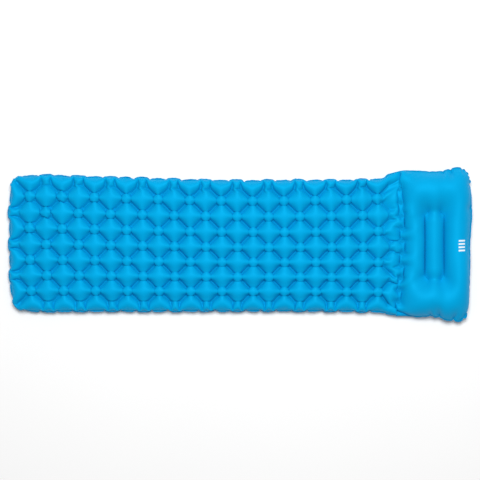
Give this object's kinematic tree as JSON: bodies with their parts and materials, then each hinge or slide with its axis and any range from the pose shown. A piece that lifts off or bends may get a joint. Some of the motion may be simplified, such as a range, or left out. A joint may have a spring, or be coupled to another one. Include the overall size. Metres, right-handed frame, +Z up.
{
  "type": "air mattress",
  "caption": "Inflatable one-person camping mattress with a welded diamond pattern, a raised built-in pillow that folds at a welded seam, and flip-cap valves.",
  "frame": {"origin": "centre of the footprint at ground level", "axes": "+X along the length towards the head (pillow) end, +Y across the width, +Z up"},
  "size_m": [1.9, 0.63, 0.098],
  "materials": {
    "sheet_fabric": "matt coated woven nylon, sky blue",
    "valve_plastic": "satin moulded TPU, near black",
    "valve_soft": "soft matt elastomer, dark grey",
    "silicone": "translucent pale silicone"
  },
  "bodies": {
    "mat": {"mat_top_skin": "sheet_fabric", "mat_bottom_skin": "sheet_fabric", "mat_valve_base": "valve_plastic", "mat_valve_tether": "valve_soft"},
    "pillow": {"pillow_top_skin": "sheet_fabric", "pillow_bottom_skin": "sheet_fabric", "pillow_valve_base": "valve_plastic", "pillow_valve_tether": "valve_soft"},
    "mat_deflate": {"mat_deflate_cap": "valve_plastic", "mat_deflate_seal": "silicone"},
    "mat_inflate": {"mat_inflate_cap": "valve_plastic", "mat_inflate_seal": "silicone"},
    "mat_flap": {"mat_check_flap": "silicone"},
    "pillow_deflate": {"pillow_deflate_cap": "valve_plastic", "pillow_deflate_seal": "silicone"},
    "pillow_inflate": {"pillow_inflate_cap": "valve_plastic", "pillow_inflate_seal": "silicone"},
    "pillow_flap": {"pillow_check_flap": "silicone"}
  },
  "joints": [
    {"name": "pillow_fold", "type": "hinge", "parent": "mat", "child": "pillow", "pos_m": [0.667, 0, 0.026], "axis": [0, -1, 0], "range_deg": [0, 60]},
    {"name": "mat_deflate_cap_hinge", "type": "hinge", "parent": "mat", "child": "mat_deflate", "pos_m": [-0.94146, -0.069, 0.02104], "axis": [0, 1, 0], "range_deg": [0, 120]},
    {"name": "mat_inflate_cap_hinge", "type": "hinge", "parent": "mat_deflate", "child": "mat_inflate", "pos_m": [-0.91422, -0.069, 0.00326], "axis": [0, -1, 0], "range_deg": [0, 150]},
    {"name": "mat_check_flap_travel", "type": "slide", "parent": "mat_deflate", "child": "mat_flap", "axis": [0.4226, 0, 0.9063], "range_m": [0, 0.002]},
    {"name": "pillow_deflate_cap_hinge", "type": "hinge", "parent": "pillow", "child": "pillow_deflate", "pos_m": [0.93787, -0.07, 0.03798], "axis": [0, -1, 0], "range_deg": [0, 120]},
    {"name": "pillow_inflate_cap_hinge", "type": "hinge", "parent": "pillow_deflate", "child": "pillow_inflate", "pos_m": [0.91414, -0.07, 0.01574], "axis": [0, 1, 0], "range_deg": [0, 150]},
    {"name": "pillow_check_flap_travel", "type": "slide", "parent": "pillow_deflate", "child": "pillow_flap", "axis": [-0.5736, 0, 0.8192], "range_m": [0, 0.002]}
  ]
}
